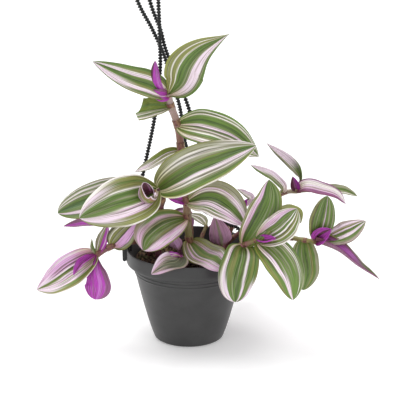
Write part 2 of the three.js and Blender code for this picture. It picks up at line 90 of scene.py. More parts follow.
# How many sides the round things have.
POT_SIDES, SOIL_SIDES, DRILL_SIDES, STEM_SIDES, SHEATH_SIDES = 144, 120, 24, 20, 24
STRAND_SIDES, HEAD_SIDES, HOOK_SIDES, BAR_SIDES, BOSS_SIDES = 12, 16, 24, 48, 32
ANY_WAY = (0.31, 0.95, 0.1)  # a direction that no line starts in

# ---------- studio

FLOOR_REACH, FLOOR_GREY, FLOOR_GLOW = 9, 0.93, 0.22
SKY = 0.72
LAMPS = (("key", (-0.6, 0.35, 1.9), 25), ("fill", (1.3, -1.4, 0.9), 5))  # places in metres, and watts
LAMP_SIZE, LAMP_AIM = 1.4, (0, 0, 0.15)
FOCAL_LENGTH, SENSOR = 160.1, 36
CAMERA_PLACE, CAMERA_PITCH = (0.0108, -1.6, 0.673), 71.5

# ---------- colours

COLOURS = {
    "G": (102, 132, 54),  # leaf green
    "D": (78, 106, 42),  # dark green
    "T": (92, 124, 72),  # cool green
    "O": (136, 140, 74),  # olive
    "Y": (150, 156, 72),  # yellow green
    "S": (158, 160, 128),  # silver green
    "X": (88, 88, 56),  # dark olive line
    "W": (254, 248, 243),  # cream
    "P": (248, 229, 243),  # pale pink
    "K": (232, 194, 224),  # pink
    "N": (178, 160, 152),  # greyish pink
    "M": (184, 62, 184),  # magenta
    "V": (146, 84, 132),  # mauve
    "B": (92, 38, 62),  # maroon
    "R": (152, 114, 88),  # brown
    "A": (128, 78, 76),  # red brown
    "H": (196, 108, 200),  # orchid
    "E": (138, 76, 112),  # dusty mauve
    "L": (230, 180, 226),  # lilac
    "Q": (206, 158, 190),  # pale mauve
    "C": (196, 110, 140),  # rose
    "I": (98, 106, 80),  # grey green
    "Z": (118, 138, 44),  # moss green
}

CHARCOAL = (58, 58, 58)
BLACK = (38, 41, 41)
PEAT = ((0.3, (24, 17, 14)), (0.5, (58, 42, 32)), (0.62, (92, 72, 52)), (0.72, (120, 104, 78)))
MOSS = (74, 82, 46)
VEIN_SHADE = (150, 138, 112)
CLASP_SHADE = (216, 218, 120)  # the yellowish base of a leaf
STEM_FLUSH = (186, 132, 146)
CLOUD = 0.2  # how much a leaf's brightness varies
GLOSS, UNDER_ROUGHNESS, LEAF_SPECULAR = 0.42, 0.5, 0.45
MOST_STOPS = 32  # of a colour ramp
PACKING = 1000  # a stem's place holds both thousandths of its length and the way to its nearest joint

UNDER = "V18 K22 V46 B52 V78 K84 V100"
SHEATH_LOOK = "R20 A30 R50 O62 R80 A90 R100"
PLAIN_LOOKS = [
    "O8 W12 G30 P36 D52 G66 W72 O84 P90 O100",
    "O6 P24 X27 G48 D60 W64 G78 P92 O100",
    "W4 O20 P30 S34 G60 W63 X66 P82 O100",
]


def leaf(at, rib, width, face, bands=None, tip=None, under=UNDER, **shape):
    """One leaf: its stem's joint, its midrib's points, its width and the way that it faces.

    bands are its stripes from edge to edge, tip those at its tip and under those beneath. shape may
    hold widest, taper, curl, fold and wave, as above; cut, the share of its length that is left, and
    slant, how askew the cut is; roll, the radius it is rolled to, and lap, how much wider one half is;
    and tone, its brightness, partly its own and partly painted light and shade for how lit the leaf is.
    """
    return dict(at=at, rib=rib, width=width, face=face, bands=bands, tip=tip, under=under, **shape)


def leafy(name, root, radius, stem, path, *leaves, girth=1):
    """A stem: where it leaves the soil, its colours by letter from its foot up, its joints and leaves.

    girth says how thick it shows against the radius of the solid.
    """
    return dict(name=name, root=root, radius=radius, stem=stem, path=path, leaves=leaves, girth=girth)


# A leaf's tone is partly painted light and shade: it makes shaded leaves darker and well lit leaves
# lighter.
SHOOTS = [
    leafy(
        "stem_main", (1, 2), 4, "RORARN",
        [(1, 0, 95), (-2, 0, 119), (-2, 0, 135), (-5, 0, 158), (-7, 0, 187), (-10, 0, 211),
         (-16, 0, 229), (-19, 0, 240)],
        # This leaf's stripes are drawn in greyed, darker colours: painted shade over its own pattern, for
        # the shade it lies in.
        leaf(0, [(12, -28, 92.5), (24, -52, 96), (35, -60, 89.5)], 33, (0.1, -0.7, 0.7),
             "O4 S12 O18 N22 P25 X28 K31 S35 G45 O50 G58 X60 P63 N67 O73 K80 X82 N86 O92 P95 O100",
             "O3 S9 W15 K22 P32 G52 S56 P72 K80 P90 K100", taper=0.65),
        leaf(1, [(-21, -20, 118), (-35, -33, 110.5), (-42, -38, 100.5)], 40, (-0.25, -0.8, 0.55),
             "O4 K11 P20 K29 N33 X35 O40 S42 G47 X49 G56 S58 D65 O68 S70 X72 N77 K82 S85 G92 O100",
             "O4 K16 P32 N36 X38 G46 S48 G58 S60 D66 X68 N74 K90 N100", widest=0.5, taper=0.65),
        leaf(2, [(20, -24, 147.5), (38.5, -38, 142.5), (53, -42, 127)], 36, (0.1, -0.85, 0.5),
             "O3 S17 O20 P24 N27 W30 S33 X35 G46 D53 G57 X59 W62 X64 P73 X76 W79 G84 W87 S93 W100",
             "O4 S14 W22 P34 S38 G54 S60 P70 K80 P90 N94 P100", widest=0.48, tone=1.1),
        leaf(4, [(-20, -2, 183.5), (-36, -9, 175.5), (-50, -11, 169)], 12, (-0.15, -0.75, 0.65),
             "W8 O14 S26 W34 O44 S56 W63 X66 Z92 Y100", "S8 W30 P60 W80 S100"),
        leaf(5, [(15, -22, 215), (42, -32, 208), (65, -30, 190)], 35, (0, -0.85, 0.5),
             "G5 W7 G10 S12 W15 S17 G27 D34 G40 S42 P48 X50 G54 W58 N60 "
             "X62 S66 W69 G77 O82 S84 W90 P94 O97 G100",
             widest=0.4, tone=1.07),
        leaf(6, [(-33, -5, 228), (-49, -9, 225.5)], 23, (-0.1, -0.75, 0.65),
             "O6 W13 S22 G30 W34 S44 G52 Z66 G76 Z100", fold=20, cut=0.5, slant=10),
        leaf(7, [(-7.2, -8, 254), (-0.8, -15, 272), (12.6, -19, 288), (37.5, -22, 304)], 38,
             (0, -0.95, 0.3),
             "Y3 O8 S9 O15 S16 W19 O30 W33 G40 D43 G48 D52 G56 S58 G61 S64 "
             "P85 W87 X89 S93 G100", widest=0.45, taper=1.3),
        leaf(7, [(-34, -8, 252), (-58, -14, 262), (-87, -18, 277)], 26, (-0.1, -0.85, 0.5),
             "O4 S7 G13 N17 P26 W30 O38 G46 D55 G62 O66 P74 W79 O88 G100",
             "G4 P36 W40 S43 G52 D58 G64 P76 W80 S86 G100", widest=0.42),
        leaf(7, [(-25.5, -5, 247), (-29.5, -8, 258), (-30.5, -8, 275)], 23, (-0.2, 0.95, 0),
             "B20 M40 K48 M70 B100", under="B20 M36 H50 M66 B100", curl=105),
        leaf(7, [(-26, -7, 242), (-36, -10, 247)], 13, (0, -0.9, 0.4),
             "M40 K50 M80 V100", under="M100", curl=40),
        leaf(7, [(-19, 3, 246), (-21, 4, 253)], 12, (-0.3, -0.9, 0), "D60 G80 D100", curl=50),
        leaf(2, [(-10, -3, 139), (-19, -5, 141)], 10, (0, -0.8, 0.5), "M40 V60 M100", curl=40),
        leaf(2, [(3, -4, 134), (7, -6, 131)], 8, (0, -0.8, 0.5), "M60 V100", curl=40),
        girth=0.96,
    ),
    leafy(
        "stem_front_left", (-29, -3), 3, "BABX",
        [(-29, -1, 106), (-28, -3, 127), (-25, -13, 142), (-28, -24, 156)],
        leaf(3, [(2, -38, 179), (34, -46, 195), (62, -48, 206)], 42, (0.05, -0.9, 0.45),
             "O3 S15 W19 X23 W27 S34 O37 G44 X48 G55 D58 G62 P66 W70 X73 W77 S82 G93 Y97 W100",
             "W5 X9 W14 S27 W30 G40 D45 T52 G56 S59 P72 X75 W79 S86 G93 Y98 W100", widest=0.34),
        leaf(3, [(-46, -42, 154), (-70, -58, 151), (-99, -68, 143)], 48, (-0.1, -0.9, 0.4),
             "W2 O12 S14 O20 K22 P32 X34 K37 W39 S42 G50 D54 G57 S59 G63 D67 G71 "
             "W74 S76 O84 G88 O93 Y96 W100",
             "O4 S12 P34 S38 G48 S52 G60 D64 G70 W74 S78 P92 W100", widest=0.5, taper=0.7),
        leaf(2, [(-56, -20, 152), (-91, -24, 144), (-122, -30, 135)], 35, (-0.1, -0.75, 0.6),
             "O4 G17 X20 P31 N34 G46 T58 D62 G70 S74 W78 S80 G83 W88 S91 G94 W97 S100",
             widest=0.6, taper=0.65, tone=0.9),
        leaf(1, [(-65, -17, 126), (-97, -22, 122), (-117, -26, 120.5)], 20, (0, 0.8, 0.6),
             "O20 P50 G80 O100", under="V30 M60 V100"),
        leaf(3, [(-38, -36, 153), (-44.5, -43, 159), (-41, -46, 170)], 42, (0.8, -0.55, 0.1),
             "P4 B16 V20 B40 M46 B78 V84 B95 P100",
             under="P4 R10 O18 N26 V29 K42 V46 K54 V58 K68 N76 O86 R95 P100",
             roll=7, lap=0.12, fold=0, widest=0.6),
        girth=1.2,
    ),
    leafy(
        "stem_left", (-38, 6), 2.6, "ABABA",
        [(-40, 4, 92), (-54, -10, 100), (-73, -16, 97), (-87, -20, 90)],
        leaf(3, [(-110, -30, 77.5), (-127, -36, 67.5), (-143, -38, 61)], 33, (-0.2, -0.85, 0.5),
             "W2 O6 Y12 G18 O21 P30 X32 W35 O37 K43 X45 P50 O54 G58 X60 W63 L66 X68 L74 X76 L90 P96 L100",
             "W3 O12 P44 O50 G56 O60 P80 K100", widest=0.34),
        leaf(3, [(-101, -31, 85), (-108, -38, 76)], 10, (-0.2, -0.6, 0.8),
             "M30 B50 M100", under="M40 K50 M100", curl=70),
        leaf(3, [(-88.5, -34, 81), (-86, -42, 67.5), (-88, -42, 53)], 26, (0.2, 0.9, 0.2),
             "O20 P50 G80 O100", under="M34 V38 M56 H70 M80 V100", widest=0.68, taper=0.5),
        leaf(3, [(-82, -18, 106), (-76, -20, 121)], 13, (0.3, -0.9, 0.3),
             "S30 W36 S50 O58 M80 K88 M100", curl=50),
        leaf(2, [(-62, -19, 110), (-46, -22, 128)], 25, (0.3, -0.85, 0.4),
             "X8 S16 W20 O30 X34 S40 O48 X54 L62 L84 X87 S94 O100"),
        leaf(3, [(-91, -23, 98), (-91, -24, 107)], 4, (0.5, -0.8, 0), "S50 G100"),
        girth=1.28,
    ),
    leafy(
        "stem_front_right", (28, -33), 3, "ACCCO",
        [(34, -41, 92), (43, -46, 102), (51, -43, 107), (64, -50, 115)],
        leaf(2, [(49, -62, 102), (43.8, -72, 83), (43.2, -71, 62)], 36, (0, -0.95, 0.3),
             "O4 G12 O18 G26 S28 P31 W35 G37 X40 G47 S50 D56 G62 O74 G80 X82 P87 W91 O95 G100",
             "P8 S12 G22 O26 P33 G40 D50 G58 S62 G76 P88 W94 P100", widest=0.5, taper=0.6, tone=0.88),
        leaf(2, [(66, -52, 135), (74, -54, 156), (74, -50, 174)], 31, (-0.1, -0.95, 0.3),
             "S4 O9 W11 K23 X26 D36 G44 D47 G56 S58 G66 S68 G74 D78 G84 S86 G93 O100"),
        leaf(3, [(82, -64, 130), (92, -70, 143), (99, -68, 152)], 29, (0.1, -0.85, 0.5),
             "W3 N7 W9 K22 P26 X29 G40 S42 G48 W53 X56 G62 W67 X69 O76 W80 O85 G90 W93 O97 W100",
             tone=0.93),
        leaf(3, [(85, -50, 138), (98, -50, 142), (104, -50, 132)], 19, (0, -0.4, 0.9),
             "O60 X80 O100"),
        leaf(3, [(81, -62, 105), (93, -68, 86), (97, -68, 63)], 32, (0, -0.9, 0.4),
             "G5 S7 W9 G12 W14 X16 S18 G24 S26 G33 D37 S39 G45 S47 G54 S56 G62 X65 P73 W76 "
             "X78 G86 O94 Y97 G100",
             "S5 G14 W16 G50 S54 P72 G88 O100", widest=0.4, taper=0.65, tone=1.12),
        leaf(3, [(72, -62, 119), (80, -70, 124)], 12, (-0.2, -0.6, 0.8),
             "M40 B60 M100", under="M100", curl=80),
        girth=1.2,
    ),
    leafy(
        "stem_right_low", (44, 4), 2.6, "ABAOY",
        [(48, 4, 90), (70, -6, 100), (94, -12, 104), (108, -16, 103), (120, -18, 102)],
        leaf(3, [(108.5, -24, 91), (111, -28, 75), (108.5, -28, 57)], 27, (0.2, -0.9, 0.3),
             "S12 G20 O28 S31 G42 D48 G56 S59 G68 T76 S82 G90 S100", taper=0.6),
        leaf(4, [(125, -22, 124), (129.7, -22, 149)], 24, (0, -0.95, 0.2),
             "S4 O12 X18 G30 S32 G42 D48 G56 S58 P62 X64 G74 S80 G90 S95 G100", widest=0.52, taper=0.65),
        leaf(4, [(141, -28, 96.5), (159, -34, 84.2), (179, -38, 72.5)], 18, (0, -0.3, 0.95),
             "O4 V14 H34 M60 V84 E100", "W6 G20 S34 N44 V60 E100", under="V50 E80 V100",
             fold=50, widest=0.2),
        leaf(4, [(126, -25, 111), (134, -28, 118)], 18, (0, -0.8, 0.5),
             "M30 B45 M100", under="M100", curl=60),
        leaf(4, [(139, -22, 108.5), (151, -26, 115.5), (166, -26, 125.5)], 22, (0, -0.8, 0.6),
             "N8 P20 N26 O32 P38 X41 G52 S56 P66 W70 X73 G82 S90 N100", widest=0.55),
    ),
    leafy(
        "stem_right_up", (36, 20), 2.4, "AARNO",
        [(40, 20, 90), (59, 20, 106), (76, 18, 125), (90, 16, 139), (103, 14, 142), (116, 12, 144)],
        leaf(3, [(89, 10, 148.5), (78.5, 7, 159.5), (68, 5, 165.8), (58.8, 4, 171)], 10, (0, -0.7, 0.7),
             "S5 G20 S40 X45 S50 W62 P100", "G22 S30 W40 P100"),
        leaf(4, [(107, 15, 153), (104, 15, 162), (95, 15, 172.5), (74, 12, 190)], 11,
             (-0.6, -0.6, 0.5), "S30 G60 D80 G100", "X12 S25 P100", widest=0.68, taper=1),
        leaf(4, [(112, 8, 149), (126, 5, 147), (140, 2, 143), (149, 0, 134)], 15, (0, -0.7, 0.7),
             "V8 P14 W40 P52 N60 K72 V86 E100", under="V60 M80 B100", widest=0.34),
        leaf(5, [(135, 14, 143.5), (149, 14, 142.5), (161, 12, 137.5)], 11, (0, -0.6, 0.8),
             "S30 G60 S80 W88 S100"),
        leaf(4, [(101, 13, 149), (99, 12, 157)], 13, (0, -0.9, 0.2),
             "B40 V60 M100", under="B40 V60 M100", curl=80),
    ),
    leafy(
        "shoot_front", (-2, -27), 2, "AM",
        [(-4, -30, 87), (-7, -33, 92)],
        leaf(1, [(-11, -50, 93.5), (-22, -63, 95.5), (-34, -67, 88)], 22, (0, -0.65, 0.75),
             "N6 S11 X15 I26 X30 I38 X42 I50 S54 X57 I66 N71 X74 S79 N86 K94 P100",
             "K22 N40 I54 N66 K84 P100", wave=0.14, tone=0.87),
        leaf(1, [(-16, -38, 96), (-27, -42, 97)], 7, (0, -0.5, 0.9),
             "M60 K80 M100", under="M100", curl=40),
    ),
    leafy(
        "shoot_middle", (-7, -15), 2, "AV",
        [(-7, -15, 86), (-9, -15, 92)],
        leaf(1, [(-13, -17, 101), (-18, -18, 110)], 13, (0, 0.9, 0.2),
             "O20 P50 G80 O100", under="Q20 L60 Q100"),
    ),
    leafy(
        "shoot_right", (31, 0), 2, "AV",
        [(31, -1, 86), (32, -2, 91)],
        leaf(1, [(30, -3, 102), (25, -1, 122)], 22, (0, 0.95, 0.1),
             "O20 P50 G80 O100", under="Q40 N46 S52 N56 Q74 N78 Q100"),
    ),
    leafy(
        "shoot_back_right", (35, 28), 2, "AR",
        [(42, 29, 100), (47, 26, 118)],
        leaf(1, [(60, 22, 131), (54, 21, 137.5), (46.5, 20, 142)], 7, (0, -0.8, 0.6), "S20 W60 P100"),
        leaf(1, [(52.5, 16, 126), (55.5, 10, 135)], 11, (0, -0.8, 0.6),
             "M100", under="M100", curl=80),
        leaf(0, [(30, 26, 111), (13, 24, 118)], 9, (0.2, 0.9, 0.3),
             "O40 P60 G100", under="B40 A60 B100"),
    ),
    leafy(
        "shoot_back", (12, 40), 2, "AO",
        [(13, 43, 86), (17, 50, 94)],
        leaf(1, [(10, 58, 99), (0, 61, 102)], 12, (0, -0.4, 0.9), "S20 W34 S60 W72 S100"),
    ),
    leafy(
        "stem_back_left", (-12, 30), 2.6, "ABOAO",
        [(-12, 34, 92), (-16, 56, 103), (-20, 72, 96), (-23, 83, 76), (-24, 87, 54)],
        leaf(1, [(-28, 72, 97), (-36, 82, 80)], 24, (-0.2, 0.5, 0.85)),
        leaf(2, [(-8, 86, 92), (2, 96, 74)], 24, (0.1, 0.8, 0.6)),
        leaf(3, [(-36, 94, 70), (-44, 100, 52)], 24, (-0.2, 0.9, 0.4)),
        leaf(4, [(-14, 98, 44), (-6, 102, 28)], 22, (0.1, 0.9, 0.3)),
        leaf(4, [(-30, 95, 38), (-34, 98, 22)], 18, (-0.2, 0.9, 0.3)),
    ),
    leafy(
        "stem_back_right", (24, 30), 2.6, "ABOAO",
        [(28, 36, 93), (38, 54, 104), (40, 68, 98), (38, 82, 78), (37, 86, 58)],
        leaf(1, [(44, 66, 112), (50, 76, 108)], 22, (0.2, 0.5, 0.85)),
        leaf(2, [(46, 80, 94), (48, 92, 80)], 22, (0.2, 0.8, 0.6)),
        leaf(3, [(28, 94, 70), (20, 102, 54)], 24, (-0.1, 0.9, 0.4)),
        leaf(4, [(42, 94, 48), (44, 98, 32)], 22, (0.1, 0.9, 0.3)),
    ),
    leafy(
        "stem_back_middle", (2, 30), 2.4, "ARO",
        [(2, 32, 94), (0, 34, 112), (-2, 38, 128)],
        leaf(2, [(-18, 44, 138), (-38, 50, 138)], 22, (-0.1, 0.3, 0.95)),
        leaf(2, [(-4, 52, 142), (-6, 68, 144)], 20, (0, 0.4, 0.9)),
    ),
]

STRANDS = [
    dict(name="strand_left", place=1, clip=182,
         path=[(-27.6, 10, 329), (-26.6, 9, 293), (-26.6, 9, 262), (-31.4, 7, 220), (-41.5, 3, 171)]),
    dict(name="strand_front", place=0, clip=15,
         path=[(-35.6, 17, 326), (-25.8, 14, 299), (-20.5, 12, 279), (-1, 8, 229), (16, 2, 171),
               (35, 5, 117), (45, 10, 107)]),
    dict(name="strand_back", place=-1, clip=62,
         path=[(-47.6, 24, 325), (-33.6, 27, 296), (-22.6, 30, 269), (-9, 36, 220), (-3, 40, 180),
               (12, 46, 143)]),
]

# ---------- curves and meshes


def unit(vectors):
    return vectors / np.linalg.norm(vectors, axis=-1, keepdims=True)


def through(points, shares):
    """Points on the smooth line through the given points, at shares of its run from 0 to 1."""
    knots = np.array(points, float)
    last = len(knots) - 1
    spot = np.clip(np.asarray(shares, float) * last, 0, last)
    part = np.minimum(spot.astype(int), last - 1)
    w = (spot - part)[:, None]
    before = np.vstack([2 * knots[0] - knots[1], knots])[part]
    after = np.vstack([knots, 2 * knots[-1] - knots[-2]])[part + 2]
    start, end = knots[part], knots[part + 1]
    out, into = 0.5 * (end - before), 0.5 * (after - start)
    square = -3 * start + 3 * end - 2 * out - into
    cube = 2 * start - 2 * end + out + into
    return start + out * w + square * w * w + cube * w**3


def headings(points, shares, reach=1e-3):
    low = np.clip(shares - reach, 0, 1)
    high = np.clip(shares + reach, 0, 1)
    return unit(through(points, high) - through(points, low))


def evenly(points, step):
    """Places about one step apart along the smooth line, and how far along each is."""
    fine = through(points, np.linspace(0, 1, 60 * len(points)))
    run = np.concatenate([[0], np.cumsum(np.linalg.norm(np.diff(fine, axis=0), axis=1))])
    count = max(2, round(run[-1] / step))
    marks = np.linspace(0, run[-1], count + 1)
    return np.stack([np.interp(marks, run, fine[:, axis]) for axis in range(3)], axis=1), marks


def carried_frames(places):
    """At each place two directions across the line, which never twist about it."""
    ahead = unit(np.gradient(places, axis=0))
    across = np.cross(ahead[0], ANY_WAY)
    sides = []
    for heading in ahead:
        across = across - heading * across.dot(heading)
        across = across / np.linalg.norm(across)
        sides.append(across)
    sides = np.array(sides)
    return sides, np.cross(ahead, sides)


def angles_of(sides):
    return 2 * pi * np.arange(sides) / sides


def circle(radius, height, sides, x=0, y=0):
    return [(x + radius * cos(a), y + radius * sin(a), height) for a in angles_of(sides)]


def ring_about(place, first, second, sizes):
    """A ring of points around a place, one for each size, turning from first towards second."""
    angles = angles_of(len(sizes))
    return [place + size * (cos(a) * first + sin(a) * second) for a, size in zip(angles, sizes)]


def turned(along, aside, height, turn, x=0, y=0):
    """The point that lies along and aside of a direction turned about Z, measured from (x, y)."""
    return (x + along * cos(turn) - aside * sin(turn),
            y + along * sin(turn) + aside * cos(turn), height)


def placed(name, content):
    made = bpy.data.objects.new(name, content)
    bpy.context.scene.collection.objects.link(made)
    return made


class Builder:
    """Gathers surfaces into one mesh object, each with its own paint and place on the leaf."""

    def __init__(self, name):
        self.name = name
        self.points, self.faces, self.paints, self.places, self.smooth = [], [], [], [], []
        self.materials = []

    def add(self, points, faces, material, places=None, smooth=True):
        """Adds points with the faces over them, and says how many points came before."""
        base = len(self.points)
        self.points.extend(map(tuple, points))
        self.places.extend(map(tuple, places if places is not None else [(0.5, 0.5)] * len(points)))
        self.cover(faces, material, base, smooth)
        return base

    def cover(self, faces, material, base, smooth=True):
        """Adds faces over points that are there already, counted from base."""
        if material not in self.materials:
            self.materials.append(material)
        slot = self.materials.index(material)
        for face in faces:
            self.faces.append(tuple(base + corner for corner in face))
            self.paints.append(slot)
            self.smooth.append(smooth)

    def finish(self):
        mesh = bpy.data.meshes.new(self.name)
        mesh.from_pydata([tuple(MM * float(c) for c in point) for point in self.points], [], self.faces)
        layer = mesh.uv_layers.new(name="place")
        corners = np.empty(len(mesh.loops), int)
        mesh.loops.foreach_get("vertex_index", corners)
        layer.data.foreach_set("uv", np.array(self.places, float)[corners].ravel())
        for material in self.materials:
            mesh.materials.append(material)
        mesh.polygons.foreach_set("material_index", self.paints)
        mesh.polygons.foreach_set("use_smooth", self.smooth)
        mesh.validate()
        return placed(self.name, mesh)


def grid_faces(rows, columns, closed=False):
    """Quads between rows of points; closed joins each row's last point to its first."""
    faces = []
    for row in range(rows - 1):
        for column in range(columns if closed else columns - 1):
            a = row * columns + column
            b = row * columns + (column + 1) % columns
            faces.append((a, b, b + columns, a + columns))
    return faces


def loft(rings):
    """Points and faces of a closed body through rings of points that all have as many points."""
    count, sides = len(rings), len(rings[0])
    points = [tuple(point) for ring in rings for point in ring]
    faces = grid_faces(count, sides, closed=True)
    first, last = len(points), len(points) + 1
    points += [tuple(np.mean(rings[0], axis=0)), tuple(np.mean(rings[-1], axis=0))]
    top = (count - 1) * sides
    for side in range(sides):
        after = (side + 1) % sides
        faces.append((after, side, first))
        faces.append((top + side, top + after, last))
    return points, faces


def lathe(profile, segments):
    """A body turned about Z from (radius, height) pairs; both ends lie on the axis."""
    points, faces = loft([circle(radius, height, segments) for radius, height in profile[1:-1]])
    points[-2] = (0, 0, profile[0][1])
    points[-1] = (0, 0, profile[-1][1])
    return points, faces


# ---------- materials


def linear(rgb):
    """A screen colour from 0 to 255 as the linear colour that shaders take."""
    shares = [channel / 255 for channel in rgb]
    return [s / 12.92 if s <= 0.04045 else ((s + 0.055) / 1.055) ** 2.4 for s in shares] + [1]


def node(tree, kind, inputs=None, **settings):
    """A shader node with its settings and inputs; an input may be another node's socket."""
    made = tree.nodes.new(kind)
    for key, value in settings.items():
        setattr(made, key, value)
    for key, value in (inputs or {}).items():
        if isinstance(value, bpy.types.NodeSocket):
            tree.links.new(value, made.inputs[key])
        else:
            made.inputs[key].default_value = value
    return made.outputs


def maths(tree, operation, *values):
    return node(tree, "ShaderNodeMath", dict(enumerate(values)), operation=operation)[0]


def between(tree, value, low, high, most=1.0):
    """0 up to low, most from high on, smooth between; low may also be the greater one."""
    inputs = {"Value": value, "From Min": low, "From Max": high, "To Max": most}
    return node(tree, "ShaderNodeMapRange", inputs, interpolation_type="SMOOTHSTEP")[0]


def noise(tree, vector, scale, shift=0.0, detail=2.0):
    """Noise from 0 to 1, stretched by scale along each axis."""
    inputs = {0: vector, "Location": (shift, 1.7 * shift, 0), "Scale": scale}
    moved = node(tree, "ShaderNodeMapping", inputs)[0]
    return node(tree, "ShaderNodeTexNoise", {"Vector": moved, "Scale": 1.0, "Detail": detail})[0]


def mix(tree, share, first, second, how="MIX"):
    inputs = {0: share, 6: first, 7: second}
    return node(tree, "ShaderNodeMix", inputs, data_type="RGBA", blend_type=how)[2]


def ramp(tree, value, stops):
    made = tree.nodes.new("ShaderNodeValToRGB")
    tree.links.new(value, made.inputs[0])
    elements = made.color_ramp.elements
    while len(elements) < len(stops):
        elements.new(0.5)
    for element, (position, colour) in zip(elements, stops):
        element.position = position
        element.color = colour
    return made.outputs[0]


def stripe_stops(bands, edge=0.012, thin=0.041):
    """The ramp for bands such as "G40 W45 O100": a colour's letter and the percent where it ends."""
    stops, start = [], 0.0
    for word in bands.split():
        end = float(word[1:]) / 100
        colour = linear(COLOURS[word[0]])
        if end - start <= thin and start > 0:
            stops.append(((start + end) / 2, colour))
        else:
            soft = min(edge, (end - start) / 3)
            stops += [(start + soft, colour), (end - soft, colour)]
        start = end
    return stops if len(stops) <= MOST_STOPS else stripe_stops(bands, edge, thin + 0.01)


def painted(name, roughness, specular):
    material = bpy.data.materials.new(name)
    material.use_nodes = True
    shader = material.node_tree.nodes["Principled BSDF"]
    shader.inputs["Roughness"].default_value = roughness
    shader.inputs["Specular IOR Level"].default_value = specular
    return material, material.node_tree, shader


def finish_paint(tree, shader, colour, height, strength, distance):
    """Links the colour, and a bump that is at most distance deep, in metres."""
    tree.links.new(colour, shader.inputs["Base Color"])
    inputs = {"Height": height, "Strength": strength, "Distance": distance}
    tree.links.new(node(tree, "ShaderNodeBump", inputs)[0], shader.inputs["Normal"])


def leaf_place(tree):
    """The place on a leaf or stem: across or around it, and along it, both from 0 to 1."""
    place = node(tree, "ShaderNodeUVMap", uv_map="place")[0]
    return place, node(tree, "ShaderNodeSeparateXYZ", {0: place})


def leaf_paint(name, bands, tip, width, seed, tone=1.0, roughness=GLOSS):
    """Stripes that run from a leaf's base to its tip, where they may change to the tip's own.

    Veins and clouds break the stripes up, and the leaf is yellowish where it clasps its stem.
    """
    material, tree, shader = painted(name, roughness, LEAF_SPECULAR)
    place, (across, along, _) = leaf_place(tree)
    drift = noise(tree, place, (3, 3.2, 1), seed, 1.0)
    veins = noise(tree, place, (12 + 0.9 * width, 1.5, 1), seed + 3)
    fine = noise(tree, place, (20 + 1.4 * width, 4, 1), seed + 5)
    patches = noise(tree, place, (5, 2, 1), seed + 8)
    strayed = maths(tree, "MULTIPLY_ADD", drift, 0.06, across)
    strayed = maths(tree, "MULTIPLY_ADD", veins, 0.05, strayed)
    strayed = maths(tree, "SUBTRACT", strayed, 0.055)
    colour = ramp(tree, strayed, stripe_stops(bands))
    if tip:
        ragged = maths(tree, "MULTIPLY_ADD", veins, 0.5, along)
        colour = mix(tree, between(tree, ragged, 0.75, 1.1), colour, ramp(tree, strayed, stripe_stops(tip)))
    colour = mix(tree, between(tree, veins, 0.5, 0.37, 0.7), colour, linear(VEIN_SHADE), "MULTIPLY")
    colour = mix(tree, between(tree, fine, 0.53, 0.66, 0.28), colour, linear(COLOURS["S"]), "LIGHTEN")
    # Painted light and shade: the leaf's tone scales its random clouds of brightness, darker or lighter for
    # how lit the leaf is.
    limits = {"Value": patches, "To Min": tone * (1 - CLOUD), "To Max": tone * (1 + CLOUD)}
    cloud_and_painted_light = node(tree, "ShaderNodeMapRange", limits)[0]
    toned = node(tree, "ShaderNodeCombineXYZ", {0: cloud_and_painted_light, 1: cloud_and_painted_light, 2: cloud_and_painted_light})[0]
    colour = mix(tree, 1.0, colour, toned, "MULTIPLY")
    colour = mix(tree, between(tree, along, 0.3, 0.03, 0.6), colour, linear(CLASP_SHADE), "MULTIPLY")
    finish_paint(tree, shader, colour, maths(tree, "ADD", veins, fine), 0.5, 0.0006)
    return material


def stem_paint(name, letters, seed):
    """Colours along a stem by its letters, with a dark ring at each joint and a flush beside it."""
    material, tree, shader = painted(name, GLOSS, LEAF_SPECULAR)
    place, (_, packed, _) = leaf_place(tree)
    along = maths(tree, "DIVIDE", maths(tree, "FLOOR", maths(tree, "MULTIPLY", packed, PACKING)), PACKING)
    beyond = maths(tree, "MULTIPLY", maths(tree, "SUBTRACT", packed, along), PACKING)
    step = 1 / (len(letters) - 1)
    stops = [(index * step, linear(COLOURS[letter])) for index, letter in enumerate(letters)]
    streak = noise(tree, place, (16, 20, 1), seed)
    body = ramp(tree, maths(tree, "MULTIPLY_ADD", streak, 0.12, along), stops)
    body = mix(tree, between(tree, streak, 0.5, 0.75, 0.5), body, linear(COLOURS["O"]))
    body = mix(tree, between(tree, beyond, 0.75, 0.15, 0.3), body, linear(STEM_FLUSH))
    body = mix(tree, between(tree, beyond, 0.16, 0.06, 0.7), body, linear(COLOURS["B"]))
    finish_paint(tree, shader, body, streak, 0.3, 0.0004)
    return material


def plastic_paint(name, colour, grain):
    """Moulded plastic with a faint grain and slight clouds of wear."""
    material, tree, shader = painted(name, GLOSS, 0.4)
    place = node(tree, "ShaderNodeTexCoord")["Object"]
    wear = noise(tree, place, (38, 38, 60), detail=3.0)
    low = linear([0.9 * channel for channel in colour])
    high = linear([1.08 * channel for channel in colour])
    worn = ramp(tree, wear, [(0.3, low), (0.7, high)])
    finish_paint(tree, shader, worn, noise(tree, place, (grain, grain, grain)), 0.15, 0.0002)
    return material


def soil_paint():
    """Dark peat with paler fibres and a few greenish crumbs."""
    material, tree, shader = painted("peat", 0.95, 0.2)
    place = node(tree, "ShaderNodeTexCoord")["Object"]
    grain = noise(tree, place, (420, 420, 420), detail=4.0)
    lumps = noise(tree, place, (120, 120, 120), 4.0)
    peat = [(level, linear(colour)) for level, colour in PEAT]
    colour = mix(tree, between(tree, lumps, 0.56, 0.66, 0.5), ramp(tree, grain, peat), linear(MOSS))
    finish_paint(tree, shader, colour, grain, 0.8, 0.001)
    return material


# ---------- leaves and stems


